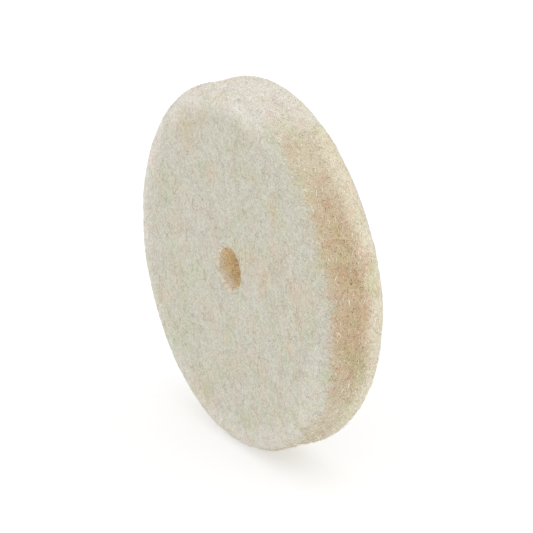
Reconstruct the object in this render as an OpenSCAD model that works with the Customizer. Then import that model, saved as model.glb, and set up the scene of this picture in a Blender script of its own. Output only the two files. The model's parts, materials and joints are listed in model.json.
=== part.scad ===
// Felt polishing wheel: one disc of pressed wool felt with a plain centre hole.
//
// The wheel stands upright and turns about the Y axis, with its centre at the
// origin. The front face looks along -Y and the back face along +Y. The hole is a
// push fit on a small rotary-tool mandrel, so the felt itself grips the shank.

/* [Wheel] */
// Outside diameter of the wheel
wheel_d = 25.4; // [12:0.1:60]
// Thickness across the two faces
wheel_t = 4.7; // [4:0.1:12]
// Radius of the soft edge between each face and the rim
edge_r = 1.1; // [0.3:0.1:1.5]
// Depth of the shallow hollow that the punch leaves around the rim
rim_hollow = 0.06; // [0.03:0.01:0.3]

/* [Centre hole] */
// Diameter of the hole
bore_d = 3; // [1.5:0.1:6]
// Radius of the soft lip where the hole meets each face
lip_r = 0.2; // [0.1:0.05:0.8]

/* [Finish] */
// Segments drawn on a full turn
turn_segments = 180; // [48:12:360]

/* [Hidden] */
wheel_r = wheel_d / 2;
bore_r = bore_d / 2;
half_t = wheel_t / 2;
// Flat width of the rim, between the two soft edges
rim_w = wheel_t - 2 * edge_r;
// Radius of the arc that hollows the rim by rim_hollow across its flat width
hollow_arc_r = (rim_hollow * rim_hollow + rim_w * rim_w / 4) / (2 * rim_hollow);
// Overlap that lets a cutter run clear of the surface it cuts
clear = 1;

// The sharp corner outside a quarter round of radius r, centred on the origin of the arc
module corner_waste(r) {
    difference() {
        square(r + clear);
        circle(r = r, $fn = turn_segments);
    }
}

// One of the two outer corners: soft edge from the rim to the face
module outer_edge_waste() {
    translate([wheel_r - edge_r, half_t - edge_r])
        corner_waste(edge_r);
}

// One of the two inner corners: soft lip from the face into the hole
module bore_lip_waste() {
    translate([bore_r + lip_r, half_t - lip_r])
        mirror([1, 0])
            corner_waste(lip_r);
}

// Large circle that hollows the rim between the soft edges
module rim_hollow_waste() {
    translate([wheel_r - rim_hollow + hollow_arc_r, 0])
        circle(r = hollow_arc_r, $fn = turn_segments);
}

// Half of the wheel's section: x is the distance from the axis, y runs through the felt
module wheel_section() {
    difference() {
        translate([bore_r, -half_t])
            square([wheel_r - bore_r, wheel_t]);
        for (side = [0, 1])
            mirror([0, side]) {
                outer_edge_waste();
                bore_lip_waste();
            }
        rim_hollow_waste();
    }
}

// The whole wheel, punched from one sheet of felt
module felt_disc() {
    color([0.80, 0.78, 0.72])
        rotate([-90, 0, 0])
            rotate_extrude($fn = turn_segments)
                wheel_section();
}

felt_disc();
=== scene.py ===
# A felt polishing wheel: a disc of pressed wool felt, with single wool fibres lying on every
# face of it. Lengths are in millimetres until a mesh is made, and the meshes are in metres.

import json
import math

import bpy
import numpy as np
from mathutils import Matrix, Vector, noise


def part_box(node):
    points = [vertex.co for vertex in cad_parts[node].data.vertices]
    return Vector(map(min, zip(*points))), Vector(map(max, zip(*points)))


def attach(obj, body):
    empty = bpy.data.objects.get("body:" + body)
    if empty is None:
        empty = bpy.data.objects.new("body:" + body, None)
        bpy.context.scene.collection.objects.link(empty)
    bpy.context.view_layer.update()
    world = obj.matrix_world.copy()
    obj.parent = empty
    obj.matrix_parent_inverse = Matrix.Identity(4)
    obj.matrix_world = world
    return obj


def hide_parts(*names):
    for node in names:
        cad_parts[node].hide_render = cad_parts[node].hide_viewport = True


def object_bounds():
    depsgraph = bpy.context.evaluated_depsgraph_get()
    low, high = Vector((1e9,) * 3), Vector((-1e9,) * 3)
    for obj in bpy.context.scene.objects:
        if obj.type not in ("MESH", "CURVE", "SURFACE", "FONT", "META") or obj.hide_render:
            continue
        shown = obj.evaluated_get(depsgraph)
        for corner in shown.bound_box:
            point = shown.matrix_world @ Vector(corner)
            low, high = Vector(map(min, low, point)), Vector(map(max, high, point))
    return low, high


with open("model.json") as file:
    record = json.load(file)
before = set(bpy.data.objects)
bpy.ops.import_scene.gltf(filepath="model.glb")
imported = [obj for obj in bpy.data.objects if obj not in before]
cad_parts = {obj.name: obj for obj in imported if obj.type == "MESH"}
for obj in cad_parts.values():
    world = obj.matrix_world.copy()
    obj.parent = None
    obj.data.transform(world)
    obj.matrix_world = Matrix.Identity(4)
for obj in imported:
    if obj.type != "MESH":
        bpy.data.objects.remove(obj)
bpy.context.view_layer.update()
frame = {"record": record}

# ---------------------------------------------------------------- sizes, from the frame
MM = 0.001
low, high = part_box("felt_disc")
mounts = {mount["name"]: mount["dims"] for mount in frame["record"]["mounts"]}
WHEEL_R = (high.z - low.z) / 2 / MM
HALF_T = (high.y - low.y) / 2 / MM
BORE_R = mounts["arbor_bore"]["r_mm"]
LIP_R = HALF_T - mounts["arbor_bore"]["length_mm"] / 2
EDGE_R = 1.1  # soft edge between a face and the rim
RIM_HOLLOW = 0.06  # the punch leaves the rim this much slimmer at mid width

# ---------------------------------------------------------------- how uneven the felt is
# Lobes round the rim: how many, their height as a share of the radius, and the turn of the first.
# The single lobe is the hole lying a little above the middle.
LOBES = [(1, 0.0170, -math.pi / 2), (3, 0.0105, 0), (4, 0.0045, 0)]
MEAN_SHARE = 0.994  # mean radius of the uneven wheel, as a share of the true round
LUMPS = [(5.2, 0.060), (1.5, 0.026), (0.42, 0.018)]  # size and height of lumps
LUMPS_APART = 17.3  # keeps each size of lump on its own part of the noise
EDGE_REACH = 2.4  # how far in from the rim the face starts to fall away
EDGE_FALL = 0.10  # how far it falls, all round
SOFT_TURN = math.radians(80)  # where the front edge is worn softest, near the top
SOFT_FALL = 0.26  # how much further it falls there
SOFT_FOCUS = 6  # the higher, the shorter the soft stretch of edge

# ---------------------------------------------------------------- how finely it is built
TABLE_STEP = 0.02  # between rows of the section table
BODY_STEP = 0.14  # between rings of corners along the section
RIM_CORNERS = 576  # corners on a ring round the rim
MAX_HALVINGS = 3  # how often that is halved, at most, towards the hole
HOLLOW_STEPS = 24  # steps across the rim's hollow
TUBE_SIDES = 3  # sides of a fibre
TINY = 1e-9  # keeps a division from failing where a fibre stands straight up

# ---------------------------------------------------------------- how fibres differ
LENGTH_SPREAD = 0.35  # spread of the logarithm of a fibre's length
UNEVEN_CURL = 1.5  # how far the curl changes along a fibre, in times the curl
WEAVES = (0.5, 1.2)  # fewest and most times that a fibre weaves in and out
THICKNESSES = (0.7, 1.35)  # thinnest and thickest fibre, in times the mean
TAPER = (0.12, 0.88)  # the part of half a wave that a fibre's thickness follows
BROWN_TONE, WHITE_TONE = -1.0, 1.0  # 0 is a fibre coloured like the felt
PLAIN_TONES = (-0.2, 0.6)  # the tones of fibres that are neither brown nor white

# ---------------------------------------------------------------- where the colours change
# Distances from the axis at which a ramp is 0 and 1.
# The first ramp places the painted highlight along the edges of the faces.
HIGHLIGHT_RADII = (WHEEL_R - 2.4, WHEEL_R - 0.8)
BORE_RADII = (BORE_R + 0.9, BORE_R + 0.2)
WALL_RADII = (BORE_R + 0.2, BORE_R - 0.05)
# Depths behind the front face at which a ramp is 0 and 1.
STAIN_DEPTHS = (-0.2, 1.4)
# The back of the rim carries a painted highlight.
FAR_DEPTHS = (2.3, 3.8)
CUT_DEPTHS = (0.1, 0.7)
BACK_DEPTHS = (2 * HALF_T - 0.1, 2 * HALF_T - 0.5)
# Two directions round the wheel, and the distances that way at which a ramp is 0 and 1.
# The painted highlight on the edges is left off on the side that faces this way.
NO_HIGHLIGHT_TURN = math.radians(25)
NO_HIGHLIGHT_REACH = (0.85 * WHEEL_R, 0.5 * WHEEL_R)
STAIN_TURN = math.radians(10)
STAIN_REACH = (0.91 * WHEEL_R, 1.27 * WHEEL_R)
STAIN_PATCHES = 0.45 * WHEEL_R  # how far patches move the edge of the stain
# Heights above the axis at which a ramp is 0 and 1.
# The painted highlight on the edges grows towards the top.
HIGHLIGHT_HEIGHTS = (-0.6 * WHEEL_R, 0.3 * WHEEL_R)
# The top of the rim carries a painted highlight, as lit from above.
TOP_HIGHLIGHT_HEIGHTS = (0.8 * WHEEL_R, WHEEL_R)
LEAST_HIGHLIGHT = 0.5  # painted highlight of the lower edge, as a share of the upper edge's
LIP_TILT = 0.3  # the skin reaches this much further into the hole for each mm lower down
FRAY = 1.2  # how far the edge of the skin wanders
# How dirty the cut felt is: everywhere and how much more in the stain; and how many more dark specks,
# as painted shade, go down the hole.
PLAIN_DIRT, STAIN_DIRT, BORE_SHADE_SPECKS = 0.1, 0.7, 0.4
# How strongly the felt is mottled pink and green: everywhere, and how much more in the stain.
PLAIN_MOTTLE, STAIN_MOTTLE = 0.6, 0.6

# ---------------------------------------------------------------- the felt's grain
STRANDS = {"per_mm": 10.0, "long": 2.2, "directions": 4}  # long in times a strand's own width
STRANDS_APART = 5.7  # keeps each direction of strands on its own part of the noise
STRAND_RISE = 0.08  # height of the strands
GAP_GRAIN = (0.48, 0.66)  # the grain of a gap in full painted shade, and of a strand in full light
GAP_SHADE = 0.74  # brightness of the painted shade in a gap, as a share of the strand's


# ---------------------------------------------------------------- the smooth wheel
def arc(centre, radius, start, end, steps=24):
    """Points on an arc in the section plane. Angles are in degrees."""
    angles = np.radians(np.linspace(start, end, steps))
    return [(centre[0] + radius * math.cos(a), centre[1] + radius * math.sin(a)) for a in angles]


def section():
    """Half of the wheel's section, as (distance from the axis, place along Y), from the middle
    of the bore round by the front face, the rim and the back face to the bore again."""
    rim_half = HALF_T - EDGE_R
    front = [(BORE_R, 0.0)]
    front += arc((BORE_R + LIP_R, LIP_R - HALF_T), LIP_R, 180, 270)
    front += arc((WHEEL_R - EDGE_R, EDGE_R - HALF_T), EDGE_R, 270, 360)
    rim = []
    for share in np.linspace(-1, 1, HOLLOW_STEPS + 1)[1:-1]:
        dip = RIM_HOLLOW * math.cos(share * math.pi / 2) ** 2
        rim.append((WHEEL_R - dip, share * rim_half))
    back = [(radius, -across) for radius, across in reversed(front)]
    return np.array(front + rim + back)


def section_table():
    """The section at even steps along it: place, radius, across, and the outward normal."""
    corners = section()
    length = np.concatenate([[0], np.cumsum(np.linalg.norm(np.diff(corners, axis=0), axis=1))])
    place = np.linspace(0, length[-1], round(length[-1] / TABLE_STEP))
    radius = np.interp(place, length, corners[:, 0])
    across = np.interp(place, length, corners[:, 1])
    run, rise = np.gradient(radius), np.gradient(across)
    size = np.hypot(run, rise)
    return place, radius, across, rise / size, -run / size


PLACE, RADIUS, ACROSS, NORMAL_OUT, NORMAL_ACROSS = section_table()
SECTION_LENGTH = PLACE[-1]


def on_wheel(turn, place):
    """Points and outward normals of the smooth wheel, at angle turn and place along the section."""
    place = place % SECTION_LENGTH
    radius, out = np.interp(place, PLACE, RADIUS), np.interp(place, PLACE, NORMAL_OUT)
    across, side = np.interp(place, PLACE, ACROSS), np.interp(place, PLACE, NORMAL_ACROSS)
    cos, sin = np.cos(turn), np.sin(turn)
    points = np.stack([radius * cos, across, radius * sin], -1)
    normals = np.stack([out * cos, side, out * sin], -1)
    return points, normals


# ---------------------------------------------------------------- the uneven felt
def lumps(points):
    """Height of the felt's lumps at each point, from the largest to the smallest."""
    height = np.zeros(len(points))
    for index, (size, tall) in enumerate(LUMPS):
        scaled = points / size + LUMPS_APART * (index + 1)
        height += tall * np.array([noise.noise(Vector(point)) for point in scaled])
    return height


def press(points, normals, lift=0.0):
    """Moves points of the smooth wheel to where the real felt is: not quite round, worn at the
    edges and lumpy, then out by lift along the normal."""
    flat, out = points.reshape(-1, 3), normals.reshape(-1, 3)
    radius = np.hypot(flat[:, 0], flat[:, 2])
    turn = np.arctan2(flat[:, 2], flat[:, 0])
    round_share = np.full(len(flat), MEAN_SHARE)
    for lobes, tall, first in LOBES:
        round_share += tall * np.cos(lobes * (turn - first))
    stretch = 1 + (round_share - 1) * (radius / WHEEL_R) ** 2
    near_rim = np.clip((radius - WHEEL_R + EDGE_REACH) / EDGE_REACH, 0, 1)
    front = np.clip(-flat[:, 1] / HALF_T, 0, 1)
    edge_share = np.clip(np.cos(turn - SOFT_TURN), 0, 1) ** SOFT_FOCUS
    fall = (EDGE_FALL + SOFT_FALL * edge_share * front) * near_rim ** 2 / HALF_T
    moved = flat * np.stack([stretch, 1 - fall, stretch], -1)
    height = lumps(flat) + np.broadcast_to(lift, points.shape[:-1]).ravel()
    return (moved + out * height[:, None]).reshape(points.shape)


# ---------------------------------------------------------------- meshes
def make_piece(name, points, faces, material):
    """A smooth-shaded piece of the wheel from points in millimetres."""
    mesh = bpy.data.meshes.new(name)
    mesh.from_pydata((points * MM).tolist(), [], faces)
    mesh.validate()
    mesh.shade_smooth()
    mesh.materials.append(material)
    piece = bpy.data.objects.new(name, mesh)
    bpy.context.scene.collection.objects.link(piece)
    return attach(piece, "root")


def corners_at(radius):
    """Corners on a ring: halved each time the radius halves, so that faces stay even."""
    halvings = int(math.log2(max(WHEEL_R / radius, 1)))
    return RIM_CORNERS >> min(halvings, MAX_HALVINGS)


def strip(start_a, count_a, start_b, count_b):
    """Faces between two rings with the same count, or with one twice the other."""
    if count_a == count_b:
        return [(start_a + i, start_b + i,
                 start_b + (i + 1) % count_b, start_a + (i + 1) % count_a) for i in range(count_a)]
    faces = []
    few, few_start, many_start = min(count_a, count_b), start_a, start_b
    if count_a > count_b:
        few_start, many_start = start_b, start_a
    for i in range(few):
        here, there = few_start + i, few_start + (i + 1) % few
        left, middle = many_start + 2 * i, many_start + 2 * i + 1
        right = many_start + (2 * i + 2) % (2 * few)
        three = [(here, left, middle), (here, middle, there), (there, middle, right)]
        faces += three if few_start == start_a else [face[::-1] for face in three]
    return faces


def body(material):
    """The felt itself: one closed surface, ring by ring along the section."""
    places = np.linspace(0, SECTION_LENGTH, round(SECTION_LENGTH / BODY_STEP), endpoint=False)
    counts = [corners_at(radius) for radius in np.interp(places, PLACE, RADIUS)]
    starts = np.concatenate([[0], np.cumsum(counts)]).tolist()
    turns = np.concatenate([np.arange(count) / count * 2 * math.pi for count in counts])
    points, normals = on_wheel(turns, np.repeat(places, counts))
    faces = []
    for ring, count in enumerate(counts):
        after = (ring + 1) % len(counts)
        faces += strip(starts[ring], count, starts[after], counts[after])
    piece = make_piece("felt_body", press(points, normals), faces, material)
    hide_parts("felt_disc")
    return piece


# ---------------------------------------------------------------- wool fibres
def place_where(band, share):
    """Places along the section inside a band of the wheel, spread evenly over its area."""
    across_low, across_high, radius_low, radius_high = band
    inside = (ACROSS >= across_low) & (ACROSS <= across_high)
    inside &= (RADIUS >= radius_low) & (RADIUS <= radius_high)
    area = np.cumsum(np.where(inside, RADIUS, 0))
    return np.interp(share * area[-1], area, PLACE)


def fibre_paths(rng, band, count, joints, length, stray, curl, wave, lean):
    """Curved paths on a band of the wheel: points, normals and how far each point is lifted.
    Paths set out round the wheel or up to stray degrees from it. curl is how fast a path turns, in
    radians to the millimetre, wave how far it weaves in and out of the surface, and lean the
    steepest angle at which it stands up from it, in degrees."""
    place = place_where(band, rng.uniform(0, 1, count))
    turn = rng.uniform(0, 2 * math.pi, count)
    heading = np.radians(rng.uniform(-stray, stray, count))
    long = rng.lognormal(math.log(length), LENGTH_SPREAD, count)
    slope = np.radians(rng.uniform(0, lean, count))
    step = long * np.cos(slope) / (joints - 1)
    bend = rng.normal(0, curl, count)
    turns, places = [turn], [place]
    for _ in range(joints - 1):
        radius = np.interp(place % SECTION_LENGTH, PLACE, RADIUS)
        widening = np.interp(place % SECTION_LENGTH, PLACE, -NORMAL_ACROSS)
        turn = turn + step * np.cos(heading) / radius
        place = place + step * np.sin(heading)
        straight = -widening / radius * np.cos(heading)
        heading = heading + step * (straight + bend + rng.normal(0, UNEVEN_CURL * curl, count))
        turns.append(turn)
        places.append(place)
    points, normals = on_wheel(np.stack(turns, 1), np.stack(places, 1))
    share = np.linspace(0, 1, joints)
    phase = rng.uniform(0, 1, (count, 1)) + rng.uniform(*WEAVES, (count, 1)) * share
    lift = wave * np.sin(2 * math.pi * phase) + (long * np.sin(slope))[:, None] * share
    return points, normals, lift


def fibre_tubes(points, normals, thick):
    """Closed three-sided tubes round fibre paths, as points and faces."""
    count, joints = points.shape[:2]
    ahead = np.gradient(points, axis=1)
    ahead /= np.linalg.norm(ahead, axis=2, keepdims=True)
    side = np.cross(ahead, normals)
    side /= np.linalg.norm(side, axis=2, keepdims=True) + TINY
    up = np.cross(side, ahead)
    taper = np.sqrt(np.sin(np.linspace(*TAPER, joints) * math.pi))
    half = thick[:, None, None] / 2 * taper[None, :, None]
    rings = []
    for corner in range(TUBE_SIDES):
        angle = math.pi / 2 + corner * 2 * math.pi / TUBE_SIDES
        rings.append(points + half * (up * math.sin(angle) + side * math.cos(angle)))
    tube_points = np.stack(rings, 2).reshape(-1, 3)
    starts = np.arange(count)[:, None] * joints * TUBE_SIDES
    faces = []
    for ring in range(joints - 1):
        for corner in range(TUBE_SIDES):
            a, b = ring * TUBE_SIDES + corner, ring * TUBE_SIDES + (corner + 1) % TUBE_SIDES
            faces += (starts + np.array([a, a + TUBE_SIDES, b + TUBE_SIDES, b])).tolist()
    last = (joints - 1) * TUBE_SIDES
    faces += (starts + np.array([0, 1, 2])).tolist()
    faces += (starts + np.array([last + 2, last + 1, last])).tolist()
    return tube_points, faces


def nap(name, seed, material, band, count, thick, white, brown, joints, **shape):
    """One piece made of many wool fibres on a band of the wheel. A share of them is white and a
    smaller share brown. Each fibre's tone is brown at -1, like the felt at 0 and white at 1."""
    rng = np.random.default_rng(seed)
    points, normals, lift = fibre_paths(rng, band, count, joints, **shape)
    thickness = thick * rng.uniform(*THICKNESSES, count)
    tube_points, faces = fibre_tubes(press(points, normals, lift), normals, thickness)
    piece = make_piece(name, tube_points, faces, material)
    tone = rng.uniform(*PLAIN_TONES, count)
    pick = rng.uniform(0, 1, count)
    tone[pick < white] = WHITE_TONE
    tone[pick > 1 - brown] = BROWN_TONE
    shade = piece.data.attributes.new("tone", "FLOAT", "POINT")
    shade.data.foreach_set("value", np.repeat(tone, joints * TUBE_SIDES).astype(np.float32))
    return piece


# ---------------------------------------------------------------- shader nodes
def add(tree, kind, inputs=(), **settings):
    """A shader node. Each input is a number, a colour or another node's output."""
    made = tree.nodes.new("ShaderNode" + kind)
    for name, value in settings.items():
        setattr(made, name, value)
    for key, value in dict(inputs).items():
        if isinstance(value, bpy.types.NodeSocket):
            tree.links.new(value, made.inputs[key])
        else:
            made.inputs[key].default_value = value
    return made


def number(tree, operation, a, b=0.0, c=0.0):
    """The result of a Math node."""
    return add(tree, "Math", {0: a, 1: b, 2: c}, operation=operation).outputs[0]


def times(tree, first, *others):
    """The product of several numbers."""
    for other in others:
        first = number(tree, "MULTIPLY", first, other)
    return first


def plus(tree, first, *others):
    """The sum of several numbers."""
    for other in others:
        first = number(tree, "ADD", first, other)
    return first


def ramp(tree, value, start, end):
    """0 at start, 1 at end, and smooth between them."""
    made = add(tree, "MapRange", {"Value": value, "From Min": start, "From Max": end},
               interpolation_type="SMOOTHSTEP")
    return made.outputs[0]


def blend(tree, share, a, b, how="MIX"):
    """A colour between a and b, or a stained with b where how is "MULTIPLY"."""
    return add(tree, "Mix", {0: share, 6: a, 7: b}, data_type="RGBA", blend_type=how).outputs[2]


def toward(tree, place, turn):
    """How far out a place lies in the direction of an angle round the wheel."""
    way = (math.cos(turn), 0, math.sin(turn))
    return add(tree, "VectorMath", {0: place, 1: way}, operation="DOT_PRODUCT").outputs["Value"]


def speckle(tree, place, per_mm, detail, shift=0.0):
    """Noise from 0 to 1, with that many spots to the millimetre. A shift makes another pattern."""
    moved = add(tree, "VectorMath", {0: place, 1: (shift, shift, shift)}, operation="ADD")
    made = add(tree, "TexNoise", {"Vector": moved.outputs[0], "Scale": per_mm, "Detail": detail})
    return made.outputs["Fac"]


def patches(tree, place, per_mm, detail, shift, bare, full):
    """Soft-edged patches: 0 where the speckle is at bare and 1 where it is at full."""
    return ramp(tree, speckle(tree, place, per_mm, detail, shift), bare, full)


def strands(tree, place, per_mm, long, directions):
    """Matted strands from 0 to 1: noise drawn out along several directions in the plane of the
    sheet, so that they show lengthways on the faces and partly end-on at the rim."""
    height = 0.0
    for index in range(directions):
        turned = add(tree, "Mapping", {
            "Vector": place,
            "Location": (STRANDS_APART * index, 0, 0),
            "Rotation": (0, math.pi * (index + 0.4) / directions, 0),
            "Scale": (long / per_mm, 1 / per_mm, 1 / per_mm),
        }, vector_type="TEXTURE")
        made = add(tree, "TexNoise", {"Vector": turned.outputs[0], "Scale": 1.0, "Detail": 1.5,
                                      "Distortion": 0.8})
        height = number(tree, "MAXIMUM", height, made.outputs["Fac"])
    return height


# ---------------------------------------------------------------- materials
def rgb(red, green, blue):
    """A linear colour from 0 to 255 screen values."""
    def linear(value):
        value /= 255
        return value / 12.92 if value <= 0.04045 else ((value + 0.055) / 1.055) ** 2.4
    return (linear(red), linear(green), linear(blue), 1)


FACE = rgb(211, 208, 193)
FACE_TAN = rgb(215, 203, 182)
# Painted highlight on the edges of the faces.
EDGE_HIGHLIGHT = rgb(233, 228, 218)
CUT = rgb(214, 202, 176)
CUT_DEEP = rgb(203, 179, 144)
# Painted highlight along the back of the rim, where its far edge catches the light.
CUT_BACK_HIGHLIGHT = rgb(232, 224, 200)
# Painted highlight on the top of the rim.
CUT_TOP_HIGHLIGHT = rgb(232, 227, 216)
# Orange tan felt down the hole, brightened past its own colour as painted light from bounces inside it.
BORE_LIT = rgb(255, 231, 188)
# Cream painted light on the hole's lip, lifting the shade there.
BORE_LIP_LIT = rgb(250, 240, 222)
PINK_TINT = rgb(255, 242, 241)
GREEN_TINT = rgb(244, 252, 234)
BROWN = rgb(124, 86, 50)
WHITE_WOOL = rgb(250, 241, 226)


def edge_highlight_share(tree, place, radius, height):
    """How strongly the edges of the faces carry a painted highlight, from 0 to 1: patchily along the
    edges, more at the top than at the bottom, where it also lightens the shade by the floor, and hardly
    at all where the rim is stained."""
    patchy = patches(tree, place, per_mm=0.9, detail=3, shift=20, bare=0.25, full=0.55)
    away = ramp(tree, toward(tree, place, NO_HIGHLIGHT_TURN), *NO_HIGHLIGHT_REACH)
    upper = ramp(tree, height, *HIGHLIGHT_HEIGHTS)
    lasting = number(tree, "MULTIPLY_ADD", upper, 1 - LEAST_HIGHLIGHT, LEAST_HIGHLIGHT)
    return times(tree, ramp(tree, radius, *HIGHLIGHT_RADII), patchy, away, lasting)


def stain_share(tree, place, depth):
    """How brown the cut felt is, from 0 to 1: patchily, on one side of the wheel."""
    patchy = times(tree, speckle(tree, place, 0.4, 4, shift=80), STAIN_PATCHES)
    reach = plus(tree, toward(tree, place, STAIN_TURN), patchy)
    return times(tree, ramp(tree, depth, *STAIN_DEPTHS), ramp(tree, reach, *STAIN_REACH))


def skin_colour(tree, place, edge_share, on_wall):
    """Pale grey felt skin with tan clouds, a painted highlight at the edges, and cream painted light at
    the hole's lip.
    """
    tan = patches(tree, place, per_mm=0.3, detail=3, shift=0, bare=0.48, full=0.72)
    colour = blend(tree, tan, FACE, FACE_TAN)
    # Painted highlight on the edges of the faces, then painted light on the hole's lip.
    colour = blend(tree, edge_share, colour, EDGE_HIGHLIGHT)
    return blend(tree, on_wall, colour, BORE_LIP_LIT)


def cut_colour(tree, place, stain, far_side, height, in_bore, dirt_and_shade):
    """Tan cut felt, stained brown on one side, with painted highlights at the back and top, orange tan
    down the hole brightened by painted light, and dark specks where it is dirty and, as painted shade,
    down the hole."""
    colour = blend(tree, stain, CUT, CUT_DEEP)
    # Painted highlight along the back of the rim.
    colour = blend(tree, far_side, colour, CUT_BACK_HIGHLIGHT)
    # Painted highlight on the top of the rim, as lit from above.
    colour = blend(tree, ramp(tree, height, *TOP_HIGHLIGHT_HEIGHTS), colour, CUT_TOP_HIGHLIGHT)
    # Painted light brightening the hole's wall.
    colour = blend(tree, in_bore, colour, BORE_LIT)
    specks = patches(tree, place, per_mm=5.0, detail=1, shift=120, bare=0.36, full=0.26)
    return blend(tree, times(tree, specks, dirt_and_shade), colour, BROWN)


def felt_colour(tree, place):
    """The felt's colour, skin on the faces and cut felt on the rim and in the hole, all faintly
    mottled. Also gives how dirty the felt is, with painted shade added down the hole, from 0 to 1."""
    along = add(tree, "SeparateXYZ", {0: place}).outputs
    outward = add(tree, "VectorMath", {0: place, 1: (1, 0, 1)}, operation="MULTIPLY").outputs[0]
    radius = add(tree, "VectorMath", {0: outward}, operation="LENGTH").outputs["Value"]
    height = along["Z"]
    wobble = plus(tree, speckle(tree, place, 1.3, 3), -0.5)
    depth = plus(tree, along["Y"], HALF_T, wobble)
    in_bore = ramp(tree, radius, *BORE_RADII)
    on_wall = ramp(tree, radius, *WALL_RADII)
    far_side = ramp(tree, depth, *FAR_DEPTHS)
    edge_share = edge_highlight_share(tree, place, radius, height)
    stain = stain_share(tree, place, depth)

    near_stain = times(tree, stain, number(tree, "SUBTRACT", 1.0, far_side))
    dirt_and_shade = number(tree, "MULTIPLY_ADD", near_stain, STAIN_DIRT, PLAIN_DIRT)
    # More dark specks down the hole: painted shade.
    dirt_and_shade = number(tree, "MULTIPLY_ADD", in_bore, BORE_SHADE_SPECKS, dirt_and_shade)
    skin = skin_colour(tree, place, edge_share, on_wall)
    inside = cut_colour(tree, place, stain, far_side, height, in_bore, dirt_and_shade)

    tilt = times(tree, height, LIP_TILT, on_wall)
    frayed = number(tree, "MULTIPLY_ADD", speckle(tree, place, 5.0, 2, shift=140), FRAY, -FRAY / 2)
    # The skin colour reaches further onto the rim where the painted highlight is.
    skin_depth = number(tree, "SUBTRACT", plus(tree, depth, tilt, frayed), edge_share)
    cut = times(tree, ramp(tree, skin_depth, *CUT_DEPTHS), ramp(tree, depth, *BACK_DEPTHS))
    colour = blend(tree, cut, skin, inside)

    mottle = number(tree, "MULTIPLY_ADD", stain, STAIN_MOTTLE, PLAIN_MOTTLE)
    pink = patches(tree, place, per_mm=0.8, detail=4, shift=40, bare=0.46, full=0.7)
    green = patches(tree, place, per_mm=0.6, detail=4, shift=60, bare=0.46, full=0.7)
    colour = blend(tree, times(tree, pink, mottle), colour, PINK_TINT, "MULTIPLY")
    return blend(tree, times(tree, green, mottle), colour, GREEN_TINT, "MULTIPLY"), dirt_and_shade


def felt_material(name, of_fibres):
    """Matt wool: soft sheen at a glancing angle, mottled colour, and a fine matted grain. The felt
    itself has painted shade in the gaps between its strands, and loose fibres have their own tone."""
    material = bpy.data.materials.new(name)
    material.use_nodes = True
    tree = material.node_tree
    shader = tree.nodes["Principled BSDF"]
    metres = add(tree, "TexCoord").outputs["Object"]
    place = add(tree, "VectorMath", {0: metres, "Scale": 1 / MM}, operation="SCALE").outputs[0]
    colour, dirt_and_shade = felt_colour(tree, place)
    grain = strands(tree, place, **STRANDS)
    if of_fibres:
        tone = add(tree, "Attribute", attribute_name="tone").outputs["Fac"]
        colour = blend(tree, ramp(tree, tone, 0, WHITE_TONE), colour, WHITE_WOOL)
        brown = times(tree, ramp(tree, tone, 0, BROWN_TONE), dirt_and_shade)
        colour = blend(tree, brown, colour, BROWN)
    else:
        # Painted shade in the gaps between the strands.
        gaps = add(tree, "HueSaturation", {"Value": GAP_SHADE, "Color": colour}).outputs[0]
        colour = blend(tree, ramp(tree, grain, *GAP_GRAIN), gaps, colour)
        bump = add(tree, "Bump", {"Height": grain, "Distance": STRAND_RISE * MM})
        tree.links.new(bump.outputs[0], shader.inputs["Normal"])
    rough = add(tree, "MapRange", {"Value": grain, "To Min": 0.82, "To Max": 1.0}).outputs[0]
    tree.links.new(rough, shader.inputs["Roughness"])
    tree.links.new(colour, shader.inputs["Base Color"])
    shader.inputs["Specular IOR Level"].default_value = 0.2
    shader.inputs["Sheen Weight"].default_value = 0.25
    shader.inputs["Sheen Roughness"].default_value = 0.5
    return material


def floor_material():
    """A pale light table with a trace of unevenness: it glows a little, so shadows on it are weak."""
    material = bpy.data.materials.new("pale_floor")
    material.use_nodes = True
    tree = material.node_tree
    shader = tree.nodes["Principled BSDF"]
    place = add(tree, "TexCoord").outputs["Object"]
    fleck = add(tree, "TexNoise", {"Vector": place, "Scale": 40.0, "Detail": 2.0}).outputs["Fac"]
    colour = blend(tree, fleck, rgb(192, 192, 192), rgb(188, 188, 188))
    tree.links.new(colour, shader.inputs["Base Color"])
    shader.inputs["Roughness"].default_value = 0.9
    shader.inputs["Specular IOR Level"].default_value = 0.1
    shader.inputs["Emission Color"].default_value = (1, 1, 1, 1)
    shader.inputs["Emission Strength"].default_value = 0.5
    return material


# ---------------------------------------------------------------- stage
def make_floor():
    """A wide pale floor that the wheel stands on."""
    half = 5.0  # in metres
    ground = min(low.z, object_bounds()[0].z)
    corners = [(x * half, y * half, ground) for x, y in ((-1, -1), (1, -1), (1, 1), (-1, 1))]
    mesh = bpy.data.meshes.new("floor")
    mesh.from_pydata(corners, [], [(0, 1, 2, 3)])
    mesh.materials.append(floor_material())
    floor = bpy.data.objects.new("floor", mesh)
    bpy.context.scene.collection.objects.link(floor)


def make_sun(name, direction, strength, spread):
    """A broad soft light from a direction, spread over an angle in degrees."""
    light = bpy.data.lights.new(name, "SUN")
    light.energy = strength
    light.angle = math.radians(spread)
    sun = bpy.data.objects.new(name, light)
    sun.rotation_euler = Vector(direction).to_track_quat("Z", "Y").to_euler()
    bpy.context.scene.collection.objects.link(sun)


def make_lights():
    """Soft studio light: a white room, a broad light overhead and a weaker one from the right."""
    world = bpy.data.worlds.new("white_room")
    world.use_nodes = True
    world.node_tree.nodes["Background"].inputs["Color"].default_value = (1, 1, 1, 1)
    world.node_tree.nodes["Background"].inputs["Strength"].default_value = 1.0
    bpy.context.scene.world = world
    make_sun("overhead", (0.35, -0.1, 1.0), strength=0.4, spread=70)
    make_sun("side_fill", (1.0, -0.2, 0.0), strength=0.15, spread=120)
    bpy.context.scene.view_settings.view_transform = "Standard"


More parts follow.
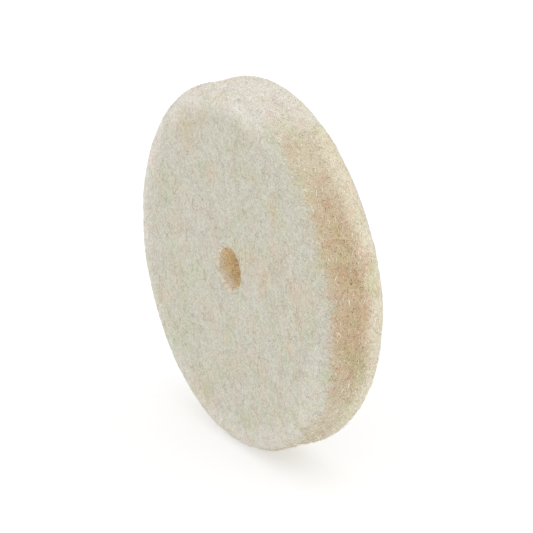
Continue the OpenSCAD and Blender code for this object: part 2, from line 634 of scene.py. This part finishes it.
def make_camera():
    """The camera looks down on the wheel from its front right."""
    azimuth, elevation = math.radians(59.0), math.radians(22.5)
    distance, frame_width = 318.0, 36.0
    aim_right, aim_down = 0.53, 0.29
    back = Vector((math.sin(azimuth) * math.cos(elevation),
                   -math.cos(azimuth) * math.cos(elevation), math.sin(elevation)))
    right = Vector((math.cos(azimuth), math.sin(azimuth), 0))
    up = back.cross(right)
    data = bpy.data.cameras.new("camera")
    data.sensor_width = 36.0
    data.lens = data.sensor_width * distance / frame_width
    data.clip_start = 0.01
    camera = bpy.data.objects.new("camera", data)
    camera.location = (right * aim_right - up * aim_down + back * distance) * MM
    camera.rotation_euler = back.to_track_quat("Z", "Y").to_euler()
    bpy.context.scene.collection.objects.link(camera)
    bpy.context.scene.camera = camera


# ---------------------------------------------------------------- the model
make_camera()
make_lights()
felt = felt_material("pressed_felt", of_fibres=False)
wool = felt_material("wool_fibre", of_fibres=True)
body(felt)
# A band is (lowest and highest place along Y, smallest and largest distance from the axis).
FRONT = (-HALF_T - 1, EDGE_R / 2 - HALF_T, BORE_R, WHEEL_R)
BACK = (HALF_T - EDGE_R / 2, HALF_T + 1, BORE_R, WHEEL_R)
RIM = (EDGE_R / 3 - HALF_T, HALF_T - EDGE_R / 3, WHEEL_R / 2, WHEEL_R + 1)
IN_BORE = (-HALF_T, HALF_T, 0, BORE_R + LIP_R)
lying = {"joints": 7, "length": 0.9, "curl": 2.6, "wave": 0.006, "lean": 0.4, "thick": 0.021}
ends = {"joints": 3, "stray": 90, "curl": 2.0, "wave": 0.0, "thick": 0.030}
loose = {"joints": 7, "length": 0.32, "stray": 30, "curl": 0.9, "wave": 0.02, "lean": 6, "thick": 0.065}
nap("front_fibres", 11, wool, FRONT, 5200, white=0.08, brown=0.004, stray=90, **lying)
nap("back_fibres", 12, wool, BACK, 5200, white=0.08, brown=0.004, stray=90, **lying)
nap("rim_fibres", 13, wool, RIM, 4000, white=0.18, brown=0.006, stray=40, **lying)
nap("rim_ends", 14, wool, RIM, 5000, white=0.25, brown=0.01, length=0.15, lean=22, **ends)
nap("bore_ends", 15, wool, IN_BORE, 1500, white=0.2, brown=0.02, length=0.2, lean=40, **ends)
nap("loose_fibres", 16, wool, RIM, 380, white=0.9, brown=0.0, **loose)
make_floor()
